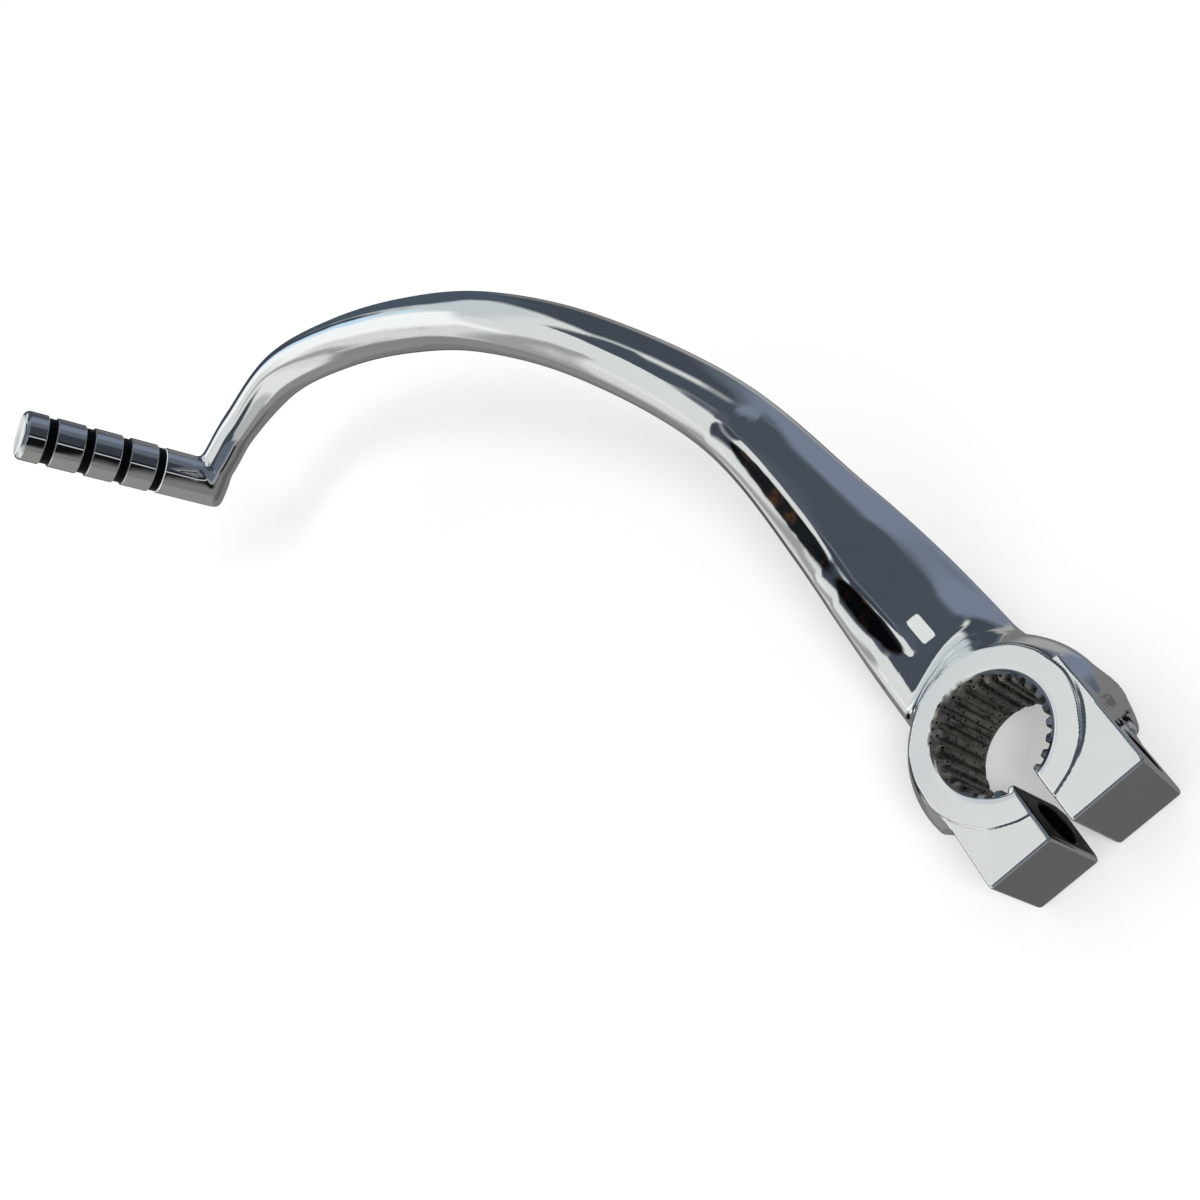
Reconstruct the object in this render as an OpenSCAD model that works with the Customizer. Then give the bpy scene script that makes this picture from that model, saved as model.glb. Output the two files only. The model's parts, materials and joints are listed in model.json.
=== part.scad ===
// Gear shift lever: a splined clamp hub, a cranked swan-neck arm and a grooved toe peg.
// Origin: on the gearbox shaft's axis, at the middle of the hub's height.
// +Z runs outboard along that axis, +X points from the hub towards the toe peg.

/* [Hub] */
// Height of the hub from its inboard face to the raised ring
hub_h = 11.6; // [9:0.1:16]
// Outer diameter of the hub's body
hub_d = 24.8; // [23.5:0.1:25.4]
// Outer diameter of the raised ring on the outboard face
ring_d = 21.4; // [20:0.1:22.5]
// How far the raised ring stands above the clamp ears
ring_step = 0.4; // [0.2:0.1:1]

/* [Splined bore] */
// Number of serrations in the bore
tooth_count = 24; // [18:1:30]
// Diameter across the tips of the serrations
tooth_tip_d = 12.8; // [12:0.1:13.6]
// Diameter across the roots of the serrations
tooth_root_d = 14.4; // [14:0.1:15]
// Width of a serration at its tip
tooth_land_w = 0.8; // [0.6:0.05:1]
// Width of a groove at its root
groove_root_w = 0.7; // [0.4:0.05:1]
// Diameter of the outboard lead-in
mouth_d = 15.5; // [15:0.1:17]
// Depth of the outboard lead-in
mouth_depth = 0.6; // [0.3:0.1:1]
// Depth of the inboard lead-in
back_depth = 1.8; // [0.5:0.1:3]

/* [Clamp] */
// Angle of the clamp slit from the +X axis
slit_angle = 147.2; // [135:0.1:160]
// Width of the clamp slit
slit_w = 2.8; // [2:0.1:3.2]
// Distance from the bore's axis to the ends of the ears
ear_reach = 14.1; // [13.6:0.1:16]
// Width across both ears
ear_span = 20.6; // [19:0.1:22]
// Distance from the bore's axis to the pinch bolt's axis
bolt_reach = 10.1; // [9.8:0.1:10.6]
// Diameter of the clearance hole for the M5 pinch bolt
bolt_hole_d = 5.5; // [5.2:0.1:5.8]
// Diameter of the cutter that faces the bolt seats
seat_d = 14; // [12:0.1:15]

/* [Arm] */
// Width of the arm where it leaves the hub
arm_hub_w = 17.6; // [14:0.1:18]
// Thickness of the arm where it leaves the hub
arm_hub_t = 8; // [7:0.1:9]
// Diameter of the round bar that the arm becomes
bar_d = 9.5; // [8.5:0.1:9.7]
// Distance along the arm by which half of the extra width is gone
taper_len = 41; // [30:1:60]
// Thickness of the flattened neck just before the elbow
neck_t = 6.9; // [6:0.1:9]
// Distance from the elbow by which half of the flattening is gone
neck_len = 18; // [12:1:24]
// Heading of the arm where it meets the peg, from the +X axis
toe_heading = 67; // [55:1:80]
// Radius inside the elbow between the arm and the peg
elbow_inner_r = 1.2; // [0.8:0.1:2.5]
// Angle at which the neck's outer side flares out to the elbow's corner
elbow_flare = 10; // [0:1:14]
// Sharpness of the elbow's outer corner: more is sharper
elbow_corner = 12; // [8:1:24]

/* [Toe peg] */
// Diameter of the peg
peg_d = 9.8; // [9.7:0.1:11]
// Length of the peg above the arm's axis
peg_len = 37; // [34:0.5:45]
// Lean of the peg away from the shaft's direction
peg_lean = 10.8; // [0:0.1:16]
// Direction in which the peg leans, from the +X axis
peg_lean_dir = 60; // [40:1:80]
// Number of grip grooves: the first one is the neck where the peg meets the arm
grip_count = 4; // [2:1:4]
// Distance from the arm's axis to the middle of the first groove
grip_start = 10.7; // [9:0.1:12]
// Distance between grooves
grip_pitch = 7.05; // [6:0.05:7.5]
// Width of a groove
grip_w = 1.9; // [1:0.1:2.5]
// Depth of a groove
grip_depth = 1; // [0.5:0.1:1.5]
// Rounding of the peg's free end
peg_end_round = 1; // [0.5:0.1:2]

/* [Hidden] */
$fn = 96;
chrome = [0.78, 0.79, 0.80];
eps = 0.01;

top_z = hub_h / 2;
bottom_z = -hub_h / 2;
ear_top_z = top_z - ring_step;
ear_mid_z = (ear_top_z + bottom_z) / 2;
back_mouth_d = tooth_root_d + 0.6;
shoulder_r = (hub_d - ring_d) / 2;
joint_s = grip_start - grip_w / 2;

function unit(v) = v / norm(v);

// The elbow lies in the plane of the arm's last heading and the peg's axis, which cross at toe.
// It turns about a pivot inside the corner.
toe = [180.5, -2.6, 33];
heading = [cos(toe_heading), sin(toe_heading), 0];
peg_axis = [
    sin(peg_lean) * cos(peg_lean_dir),
    sin(peg_lean) * sin(peg_lean_dir),
    cos(peg_lean)
];
inward = unit(peg_axis - (peg_axis * heading) * heading);
across = cross(inward, heading);
bend = acos(peg_axis * heading);
arm_to_pivot = elbow_inner_r + neck_t / 2;
peg_to_pivot = elbow_inner_r + bar_d / 2;
elbow_run = (peg_to_pivot - arm_to_pivot * cos(bend)) / sin(bend);
pivot = toe - heading * elbow_run + inward * arm_to_pivot;

// Centre line of the arm: it leaves the hub opposite the slit, climbs outboard along the
// crank, runs level round the arch and turns down to the elbow.
route = [
    [0, 0, -1.6],
    [15, -9.2, -0.3],
    [31.2, -20.4, 8],
    [49.7, -31.2, 17.2],
    [72.8, -36.8, 26.8],
    [96, -38.6, 32.2],
    [120, -38, 33],
    [144, -34.7, 33],
    [163.8, -27.7, 33.5],
    [174.9, -15.9, 33.2],
    toe - heading * elbow_run
];
spans = len(route) - 1;
steps_per_span = 6;
section_sides = 28;
elbow_steps = 9;

// Catmull-Rom point between p1 and p2
function spline(p0, p1, p2, p3, t) =
    0.5 * (2 * p1 + t * (p2 - p0) + t * t * (2 * p0 - 5 * p1 + 4 * p2 - p3)
    + t * t * t * (3 * p1 - p0 - 3 * p2 + p3));
function route_at(i) = i < 0 ? 2 * route[0] - route[1]
    : i <= spans ? route[i]
    : route[spans - 1] + 2 * norm(route[spans] - route[spans - 1]) * heading;
function centre(k) = let (i = min(floor(k / steps_per_span), spans - 1), t = k / steps_per_span - i)
    spline(route_at(i - 1), route_at(i), route_at(i + 1), route_at(i + 2), t);
ring_count = spans * steps_per_span + 1;
centres = [for (k = [0 : ring_count - 1]) centre(k)];

// Distance along the arm up to each ring
function run_to(k) = k == 0 ? 0 : run_to(k - 1) + norm(centres[k] - centres[k - 1]);
function along(k) = k == ring_count - 1 ? heading : unit(centres[k + 1] - centres[max(k - 1, 0)]);
function sideways(k) = unit(cross([0, 0, 1], along(k)));

arm_run = run_to(ring_count - 1);

// Share of an end's own shape that is left at a distance from that end
function fade(distance, half_at) = 1 / (1 + pow(distance / half_at, 4));
function half_width(run) = bar_d / 2 + (arm_hub_w - bar_d) / 2 * fade(run, taper_len);
function half_thick(run) = bar_d / 2
    + (arm_hub_t - bar_d) / 2 * fade(run, 1.5 * taper_len)
    + (neck_t - bar_d) / 2 * fade(arm_run - run, neck_len);
// Exponent of the section: 1 is a true ellipse, smaller is squarer
function squareness(run) = 1 - 0.25 * fade(run, 1.5 * taper_len);
function swell(v, e) = sign(v) * pow(abs(v), e);

turns = [for (a = [0 : section_sides - 1]) 360 * a / section_sides];
function arm_ring(k) =
    let (run = run_to(k), side = sideways(k), up = cross(along(k), side), e = squareness(run))
    [for (a = turns)
        centres[k]
        + side * half_width(run) * swell(cos(a), e)
        + up * half_thick(run) * swell(sin(a), e)];

// The elbow's outer side follows the neck and the peg up to the corner, which a power mean rounds off
function elbow_reach(b) =
    let (p = elbow_corner, neck = (elbow_inner_r + neck_t) * cos(elbow_flare), peg = elbow_inner_r + bar_d)
    pow(pow(cos(b + elbow_flare) / neck, p) + pow(cos(bend - b) / peg, p), -1 / p);
function elbow_ring(b) =
    let (out = heading * sin(b) - inward * cos(b), far = elbow_reach(b))
    let (mid = (far + elbow_inner_r) / 2, half = (far - elbow_inner_r) / 2)
    [for (a = turns) pivot + out * (mid - half * sin(a)) + across * (bar_d / 2 * cos(a))];
function stub_ring(s) =
    let (out = unit(heading - (heading * peg_axis) * peg_axis))
    [for (a = turns) toe + peg_axis * s - out * (bar_d / 2 * sin(a)) + across * (bar_d / 2 * cos(a))];

module arm_sweep() {
    rings = concat(
        [for (k = [0 : ring_count - 1]) arm_ring(k)],
        [for (i = [1 : elbow_steps]) elbow_ring(bend * i / elbow_steps)],
        [stub_ring(joint_s)]
    );
    n = section_sides;
    last = len(rings) - 1;
    walls = [for (k = [0 : last - 1]) for (a = [0 : n - 1])
        let (b = (a + 1) % n)
        each [[k * n + a, (k + 1) * n + a, k * n + b], [k * n + b, (k + 1) * n + a, (k + 1) * n + b]]];
    start_cap = [[for (a = [0 : n - 1]) a]];
    end_cap = [[for (a = [0 : n - 1]) (last + 1) * n - 1 - a]];
    polyhedron(points = [for (r = rings) each r], faces = concat(walls, start_cap, end_cap));
}

// A round body whose outboard edge is rounded off up to the raised ring
module hub_body() {
    translate([0, 0, bottom_z])
        cylinder(h = ear_top_z - shoulder_r - bottom_z, d = hub_d);
    translate([0, 0, ear_top_z - shoulder_r])
        cylinder(h = shoulder_r + ring_step, d = ring_d);
    translate([0, 0, ear_top_z - shoulder_r])
        rotate_extrude()
            intersection() {
                translate([ring_d / 2, 0])
                    circle(r = shoulder_r);
                translate([ring_d / 2 - eps, 0])
                    square(shoulder_r + eps);
            }
}

module ears() {
    translate([0, -ear_span / 2, bottom_z])
        cube([ear_reach, ear_span, ear_top_z - bottom_z]);
}

// One groove between two serrations, from inside the tip circle out to the root circle
module serration_groove() {
    tip_r = tooth_tip_d / 2;
    root_r = tooth_root_d / 2;
    mouth_w = PI * tooth_tip_d / tooth_count - tooth_land_w;
    translate([0, 0, bottom_z - 1])
        linear_extrude(height = hub_h + 2)
            polygon([
                [tip_r - 1, -mouth_w / 2],
                [root_r, -groove_root_w / 2],
                [root_r, groove_root_w / 2],
                [tip_r - 1, mouth_w / 2]
            ]);
}

// A dished lead-in: a sphere that meets the face at one diameter and the bore's tips at another
module lead_in(face_d, depth) {
    rise = (pow(face_d / 2, 2) - pow(tooth_tip_d / 2, 2) + depth * depth) / (2 * depth);
    translate([0, 0, rise])
        sphere(r = norm([rise, tooth_tip_d / 2]));
}

module splined_bore() {
    translate([0, 0, bottom_z - 1])
        cylinder(h = hub_h + 2, d = tooth_tip_d);
    for (i = [0 : tooth_count - 1])
        rotate([0, 0, (i + 0.5) * 360 / tooth_count])
            serration_groove();
    translate([0, 0, top_z - mouth_depth])
        lead_in(mouth_d, mouth_depth);
    translate([0, 0, bottom_z + back_depth])
        mirror([0, 0, 1])
            lead_in(back_mouth_d, back_depth);
}

// The pinch bolt's hole, and the round seats faced on both ears
module pinch_bolt_cut() {
    translate([bolt_reach, 0, ear_mid_z])
        rotate([90, 0, 0])
            cylinder(h = 2 * hub_d, d = bolt_hole_d, center = true);
    for (s = [-1, 1])
        translate([bolt_reach, s * (ear_span / 2 + hub_d / 2), ear_mid_z])
            rotate([90, 0, 0])
                cylinder(h = hub_d, d = seat_d, center = true);
}

module slit_cut() {
    translate([0, -slit_w / 2, bottom_z - 1])
        cube([ear_reach + 1, slit_w, hub_h + 2]);
}

module splined_hub() {
    color(chrome)
        rotate([0, 0, slit_angle])
            difference() {
                union() {
                    hub_body();
                    ears();
                }
                splined_bore();
                pinch_bolt_cut();
                slit_cut();
            }
}

module arm() {
    color(chrome)
        difference() {
            arm_sweep();
            translate([0, 0, bottom_z - 1])
                cylinder(h = hub_h + 2, d = hub_d);
        }
}

// Half section of the peg, from the neck that meets the arm's end up to the rounded tip
module peg_profile() {
    r = peg_d / 2;
    difference() {
        union() {
            translate([0, joint_s])
                square([r, peg_len - peg_end_round - joint_s]);
            translate([0, peg_len - peg_end_round])
                square([r - peg_end_round, peg_end_round]);
            translate([r - peg_end_round, peg_len - peg_end_round])
                circle(r = peg_end_round);
        }
        for (i = [0 : grip_count - 1])
            translate([r - grip_depth, joint_s + i * grip_pitch])
                square([grip_depth + 1, grip_w]);
        translate([r - grip_depth, joint_s - 1])
            square([grip_depth + 1, 1 + eps]);
    }
}

module toe_peg() {
    color(chrome)
        translate(toe)
            rotate([0, 0, peg_lean_dir])
                rotate([0, peg_lean, 0])
                    rotate_extrude()
                        peg_profile();
}

splined_hub();
arm();
toe_peg();
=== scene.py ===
"""Looks of the gear shift lever: chromed hub, arm and toe peg as smooth meshes over the CAD part."""

import json
import math

import bmesh
import bpy
import numpy as np
from mathutils import Matrix, Vector


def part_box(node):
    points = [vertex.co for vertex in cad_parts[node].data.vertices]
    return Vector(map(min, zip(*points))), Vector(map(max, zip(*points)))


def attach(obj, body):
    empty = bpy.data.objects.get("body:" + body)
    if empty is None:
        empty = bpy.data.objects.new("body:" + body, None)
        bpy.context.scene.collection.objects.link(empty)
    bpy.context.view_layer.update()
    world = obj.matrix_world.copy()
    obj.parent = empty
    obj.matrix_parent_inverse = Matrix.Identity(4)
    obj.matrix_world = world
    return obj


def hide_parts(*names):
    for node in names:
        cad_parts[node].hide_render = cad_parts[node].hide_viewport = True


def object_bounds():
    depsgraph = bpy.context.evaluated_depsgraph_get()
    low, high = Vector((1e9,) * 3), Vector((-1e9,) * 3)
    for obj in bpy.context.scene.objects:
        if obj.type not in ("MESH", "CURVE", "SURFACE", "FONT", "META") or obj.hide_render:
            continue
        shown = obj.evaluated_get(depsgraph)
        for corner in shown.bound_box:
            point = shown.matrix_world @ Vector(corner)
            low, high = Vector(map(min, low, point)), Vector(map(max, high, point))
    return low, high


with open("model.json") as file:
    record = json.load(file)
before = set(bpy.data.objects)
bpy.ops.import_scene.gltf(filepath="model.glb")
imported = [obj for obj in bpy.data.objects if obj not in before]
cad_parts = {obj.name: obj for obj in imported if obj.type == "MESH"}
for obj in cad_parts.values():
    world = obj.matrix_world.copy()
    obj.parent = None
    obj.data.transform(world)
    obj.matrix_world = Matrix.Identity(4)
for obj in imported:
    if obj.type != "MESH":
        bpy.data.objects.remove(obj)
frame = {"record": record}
cad_low, cad_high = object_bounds()

# ---------------------------------------------------------------- sizes, in millimetres
MM = 0.001
MOUNTS = {m["name"]: m for m in frame["record"]["mounts"]}


def unit(v):
    """The same direction with length 1."""
    v = np.asarray(v, float)
    return v / np.linalg.norm(v)


def in_mm(point):
    """A place in the row frame, from metres to millimetres."""
    return np.array(point, float) / MM


hub_low, hub_high = (in_mm(c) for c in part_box("splined_hub"))
TOP, BOTTOM = hub_high[2], hub_low[2]
TIP_R = MOUNTS["spline_bore"]["dims"]["r_mm"]
BOLT_R = MOUNTS["pinch_bolt_hole"]["dims"]["r_mm"]
EAR_HALF = MOUNTS["pinch_bolt_hole"]["dims"]["length_mm"] / 2
BOLT_AT = in_mm(MOUNTS["pinch_bolt_hole"]["pos_m"])
BOLT_REACH = float(np.hypot(BOLT_AT[0], BOLT_AT[1]))
SLIT_DIR = unit([BOLT_AT[0], BOLT_AT[1], 0])
EAR_DIR = unit([-SLIT_DIR[1], SLIT_DIR[0], 0])
PEG_AXIS = unit(MOUNTS["toe_peg"]["axis"])
PEG_R = MOUNTS["toe_peg"]["dims"]["r_mm"]

# The hub: its body with a belly, the raised ring, the bore's lead-in, the relief behind the
# serrations, the serrations, the slit and the two ears with the seats spot-faced into them.
HUB_R = 12.4
WALL_INSET = 0.2
BELLY = 0.75
BELLY_Z, BELLY_SPREAD = 2.2, 3.2
RING_R = 10.7
RING_STEP = 0.2
RING_TAPER = 0.2
RING_FOOT = 2
SHOULDER_GAP = 0.15
SHOULDER_OUT, SHOULDER_UP = 0.74, 0.67
MOUTH_R = 7.75
MOUTH_DEPTH = 0.6
BACK_DEPTH, BACK_FLARE = 1.8, 0.62
ROOT_R = 7.2
TEETH = 24
TOOTH_LAND = 0.8
GROOVE_ROOT = 0.7
SLIT_HALF = 1.4
EAR_START, EAR_REACH = -2, 14.1
EAR_DRAFT = 1.2
SEAT_R = 7.0

# Roundings where the hub's surfaces meet, as the width over which they blend.
TOP_EDGE = 0.3
RING_EDGE = 0.25
BODY_EDGE = 1.6
BACK_EDGE = 0.8
EAR_EDGE = 0.6
EAR_TOP_EDGE = 0.4
EAR_BACK_EDGE = 1.4
EAR_FILLET = 0.35
RING_FILLET = 0.12
SEAT_EDGE = 0.5
SLIT_EDGE = 0.5
HOLE_EDGE = 0.4
UNDER_EDGE = 0.6
TOOTH_EDGE = 0.2
LEAD_IN_EDGE = 0.15
RELIEF_EDGE = 0.2
BORE_EDGE = 0.16
CRISP = 0.1

# The fillet between hub and arm is wide on the outside of the arch and narrow on the inside.
FILLET_MEAN, FILLET_SWING, FILLET_SPREAD = 3.2, 1.7, 4

# The arm: its centre line from the hub's axis to the elbow, a list given as in the CAD
# part, then its section at the hub, on the arch and at the neck, and the elbow.
ROUTE = [
    [0, 0, -1.6],
    [15, -9.2, -0.3],
    [31.2, -20.4, 8],
    [49.7, -31.2, 17.2],
    [72.8, -36.8, 26.8],
    [96, -38.6, 32.2],
    [120, -38, 33],
    [144, -34.7, 33],
    [163.8, -27.7, 33.5],
    [174.9, -15.9, 33.2],
]
TOE = np.array([180.5, -2.6, 33.0])
TOE_HEADING = math.radians(67)
ARM_HUB_W = 17.6
ARM_HUB_T = 8.0
BAR_D = 9.5
TAPER_LEN = 41.0
NECK_T = 6.9
NECK_LEN = 18.0
ELBOW_R = 1.2
ELBOW_FLARE = math.radians(10)
ELBOW_CORNER = 12
ELBOW_FLARE_TURN = math.radians(22)
ELBOW_STEEPEST = 1.45
SEAM_RUN = 17.6

# The toe peg: heights are along its axis, from the toe mount's point.
PEG_LEN = 37.0
PEG_FOOT = 9.75
GRIP_COUNT = 4
GRIP_PITCH = 7.05
GRIP_W = 1.75
GRIP_DEPTH = 0.4
LAND_ROUND = 0.2
TIP_ROUND = 1.1
TIP_RIM = 0.6
ON_AXIS = 0.01


# ---------------------------------------------------------------- the arm's line and section
HEADING = np.array([math.cos(TOE_HEADING), math.sin(TOE_HEADING), 0])
INWARD = unit(PEG_AXIS - (PEG_AXIS @ HEADING) * HEADING)
ACROSS = np.cross(INWARD, HEADING)
BEND = math.acos(PEG_AXIS @ HEADING)
ARM_TO_PIVOT = ELBOW_R + NECK_T / 2
ELBOW_RUN = (ELBOW_R + BAR_D / 2 - ARM_TO_PIVOT * math.cos(BEND)) / math.sin(BEND)
ARM_END = TOE - HEADING * ELBOW_RUN
PIVOT = ARM_END + INWARD * ARM_TO_PIVOT


def dense_line(points, per_span=60):
    """Catmull-Rom line through points, the last tangent along HEADING: positions and run."""
    p = [np.array(q, float) for q in points]
    before = 2 * p[0] - p[1]
    after = p[-2] + 2 * np.linalg.norm(p[-1] - p[-2]) * HEADING
    p = [before, *p, after]
    t = np.linspace(0, 1, per_span, endpoint=False)[:, None]
    spans = []
    for a, b, c, d in zip(p, p[1:], p[2:], p[3:]):
        spans.append(0.5 * (2 * b + t * (c - a) + t * t * (2 * a - 5 * b + 4 * c - d)
                            + t ** 3 * (3 * b - a - 3 * c + d)))
    line = np.vstack([*spans, p[-2][None]])
    run = np.concatenate([[0], np.cumsum(np.linalg.norm(np.diff(line, axis=0), axis=1))])
    return line, run


LINE, LINE_RUN = dense_line([*ROUTE, ARM_END])
ARM_RUN = LINE_RUN[-1]
LINE_DIR = np.gradient(LINE, LINE_RUN, axis=0)
LINE_DIR /= np.linalg.norm(LINE_DIR, axis=1)[:, None]
LINE_DIR[-1] = HEADING


def along_line(table, run):
    """Rows of a table kept per point of the arm's line, at any run."""
    return np.stack([np.interp(run, LINE_RUN, table[:, i]) for i in range(3)], -1)


def arm_frame(run):
    """Centre, direction, side (towards the inside of the arch) and up at a run along the arm."""
    centre = along_line(LINE, run)
    ahead = along_line(LINE_DIR, run)
    ahead /= np.linalg.norm(ahead, axis=-1, keepdims=True)
    side = np.stack([-ahead[..., 1], ahead[..., 0], np.zeros_like(ahead[..., 0])], -1)
    side /= np.linalg.norm(side, axis=-1, keepdims=True)
    return centre, ahead, side, np.cross(ahead, side)


def fade(distance, half_at):
    """1 at no distance, one half at half_at, towards 0 beyond."""
    return 1 / (1 + (np.abs(distance) / half_at) ** 4)


def smooth_rise(x, start, end):
    """0 before start, 1 after end, smooth between."""
    t = np.clip((x - start) / (end - start), 0, 1)
    return t * t * (3 - 2 * t)


def plateau(run, start, end, edge):
    """0 outside start..end, 1 inside, with smooth edges."""
    return smooth_rise(run, start, start + edge) * smooth_rise(end - run, 0, edge)


# How far from the hub the section stays thin and squared off, and how squared.
SLIM_LEN = 1.5 * TAPER_LEN
SQUARENESS = 0.25

# The polished flat on top of the arm: direction of its normal (0 is the inside of the arch,
# 90 is up), where it starts and ends along the arm, and how softly. Its depth is a share of the
# section, with an extra share near the hub; beyond its ends it rises clear of the skin.
FLAT_ANGLE = math.radians(100)
FLAT_START, FLAT_END, FLAT_EDGE = -30, 62, 6
FLAT_DEPTH = 0.085
FLAT_HUB_DEPTH, FLAT_HUB_LEN = 0.09, 24
FLAT_MARGIN = 0.12
FLAT_CRISP = 18

# The flattened section leans over towards the hub, its inner edge up.
LEAN = math.radians(14)
LEAN_LEN = 42

# Hand-ground hollows beside the flat: start, end, angle around the section at each end, half
# width in degrees, depth as a share of the section. Towards the arm's lower side they run out
# more gently, and the painted dark reflection in them covers less of that side than the hollow does.
HOLLOWS = [
    (31, 61, 49, 66, 11, 0.15),
    (17.6, 35, 53, 48, 9, 0.12),
]
HOLLOW_RUN_OUT = 2.4
DARK_REFLECTION_RUN_OUT = 1.3

# A pale, dull patch painted on the flat as a highlight: where along the arm, and the angles it spans
# around it.
PATCH_RUN, PATCH_RUN_EDGE = (17.9, 22.8), 0.8
PATCH_ANGLE, PATCH_ANGLE_EDGE = (82, 118), 6


def hollow_shares(u, w, run, run_out):
    """For each hollow, how deep in it a point of the arm's skin is, 0 to 1."""
    angle = np.degrees(np.arctan2(w, u))
    shares = []
    for start, end, near, far, half, _ in HOLLOWS:
        t = np.clip((run - start) / (end - start), 0, 1)
        off = (angle - near - (far - near) * t) / half
        across = np.exp(-np.where(off < 0, off / run_out, off) ** 2)
        shares.append(across * np.sin(np.pi * t) ** 0.8)
    return shares


def gauge(u, w, run):
    """1 on the arm's skin, less inside: a leaning, squared-off ellipse with its flat and hollows."""
    share = fade(run, SLIM_LEN)
    half_wide = BAR_D / 2 + (ARM_HUB_W - BAR_D) / 2 * fade(run, TAPER_LEN)
    half_thick = (BAR_D / 2 + (ARM_HUB_T - BAR_D) / 2 * share
                  + (NECK_T - BAR_D) / 2 * fade(ARM_RUN - run, NECK_LEN))
    lean = LEAN * fade(run, LEAN_LEN)
    along = u * np.cos(lean) + w * np.sin(lean)
    over = w * np.cos(lean) - u * np.sin(lean)
    power = 2 / (1 - SQUARENESS * share)
    total = (np.abs(along) / half_wide) ** power + (np.abs(over) / half_thick) ** power
    total = total ** (FLAT_CRISP / power)

    c, s = np.cos(FLAT_ANGLE - lean), np.sin(FLAT_ANGLE - lean)
    dual = power / (power - 1)
    support = ((half_wide * np.abs(c)) ** dual + (half_thick * np.abs(s)) ** dual) ** (1 / dual)
    in_flat = plateau(run, FLAT_START, FLAT_END, FLAT_EDGE)
    depth = FLAT_DEPTH + FLAT_HUB_DEPTH * fade(run, FLAT_HUB_LEN)
    cut = support * (1 + FLAT_MARGIN - (FLAT_MARGIN + depth) * in_flat)
    total = total + np.maximum((along * c + over * s) / cut, 0) ** FLAT_CRISP
    skin = total ** (1 / FLAT_CRISP)
    for share, (*_, depth) in zip(hollow_shares(u, w, run, HOLLOW_RUN_OUT), HOLLOWS):
        skin = skin * (1 + depth * share)
    return skin


# ---------------------------------------------------------------- meshes
def mesh_piece(name, points, faces, normals):
    """A mesh object in the row frame from points in mm; normals are per loop."""
    mesh = bpy.data.meshes.new(name)
    mesh.from_pydata((np.asarray(points) * MM).tolist(), [], faces)
    mesh.polygons.foreach_set("use_smooth", [True] * len(mesh.polygons))
    mesh.normals_split_custom_set(normals)
    mesh.validate()
    piece = bpy.data.objects.new(name, mesh)
    bpy.context.scene.collection.objects.link(piece)
    return piece


def tube(rings, start_normal, end_normal):
    """Points, faces and loop normals of a closed tube through rings, an array rings x sides x 3."""
    count, sides, _ = rings.shape
    d_around = np.roll(rings, -1, 1) - np.roll(rings, 1, 1)
    d_along = np.gradient(rings, axis=0)
    normal = np.cross(d_around, d_along)
    normal /= np.linalg.norm(normal, axis=2, keepdims=True) + 1e-12
    outward = rings - rings.mean(1, keepdims=True)
    if (normal * outward).sum() < 0:
        normal = -normal
    points = rings.reshape(-1, 3)
    flat = normal.reshape(-1, 3)
    faces, loops = [], []
    for k in range(count - 1):
        for j in range(sides):
            n = (j + 1) % sides
            quad = [k * sides + j, k * sides + n, (k + 1) * sides + n, (k + 1) * sides + j]
            faces.append(quad)
            loops.extend(flat[quad])
    start = list(range(sides - 1, -1, -1))
    end = [(count - 1) * sides + j for j in range(sides)]
    faces += [start, end]
    loops.extend([start_normal] * sides)
    loops.extend([end_normal] * sides)
    return points, faces, loops


TUBE_SIDES = 216
ARM_RING_GAP = 0.6
TURNS = np.linspace(0, 2 * np.pi, TUBE_SIDES, endpoint=False)


def arm_runs():
    """Where along the arm its rings are, from the seam with the hub to the elbow."""
    return np.linspace(SEAM_RUN, ARM_RUN, int((ARM_RUN - SEAM_RUN) / ARM_RING_GAP))


def arm_rings():
    """The bar from the seam to the elbow."""
    runs = arm_runs()
    centre, _, side, up = arm_frame(runs)
    c, s = np.cos(TURNS), np.sin(TURNS)
    reach = 1 / gauge(c[None], s[None], runs[:, None])
    return (centre[:, None] + side[:, None] * (reach * c)[..., None]
            + up[:, None] * (reach * s)[..., None])


def elbow_rings(steps=26):
    """The sharp elbow: sections fanned round the pivot, flat as the neck at first, then round."""
    angles = np.linspace(0, BEND, steps + 1)[1:]
    rings = []
    for b in angles:
        flare = ELBOW_FLARE * smooth_rise(b, 0, ELBOW_FLARE_TURN)
        neck = (ELBOW_R + NECK_T) * math.cos(flare) / math.cos(min(b + flare, ELBOW_STEEPEST))
        peg = (ELBOW_R + BAR_D) / math.cos(BEND - b)
        far = (neck ** -ELBOW_CORNER + peg ** -ELBOW_CORNER) ** (-1 / ELBOW_CORNER)
        out = HEADING * math.sin(b) - INWARD * math.cos(b)
        mid, half = (far + ELBOW_R) / 2, (far - ELBOW_R) / 2
        rings.append(PIVOT + out * (mid - half * np.sin(TURNS))[:, None]
                     + ACROSS * (BAR_D / 2 * np.cos(TURNS))[:, None])
    return np.array(rings)


def stub_rings():
    """The round end of the arm, up to the neck of the peg, its edge rounded off."""
    out = unit(HEADING - (HEADING @ PEG_AXIS) * PEG_AXIS)
    foot = (PIVOT - TOE) @ PEG_AXIS
    heights = list(np.linspace(foot, PEG_FOOT - LAND_ROUND, 12)[1:])
    radii = [BAR_D / 2] * len(heights)
    for a in np.linspace(0, math.pi / 2, 6)[1:]:
        heights.append(PEG_FOOT - LAND_ROUND * (1 - math.sin(a)))
        radii.append(BAR_D / 2 - LAND_ROUND * (1 - math.cos(a)))
    around = np.cos(TURNS)[:, None] * ACROSS - np.sin(TURNS)[:, None] * out
    return np.array([TOE + PEG_AXIS * h + r * around for h, r in zip(heights, radii)])


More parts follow.
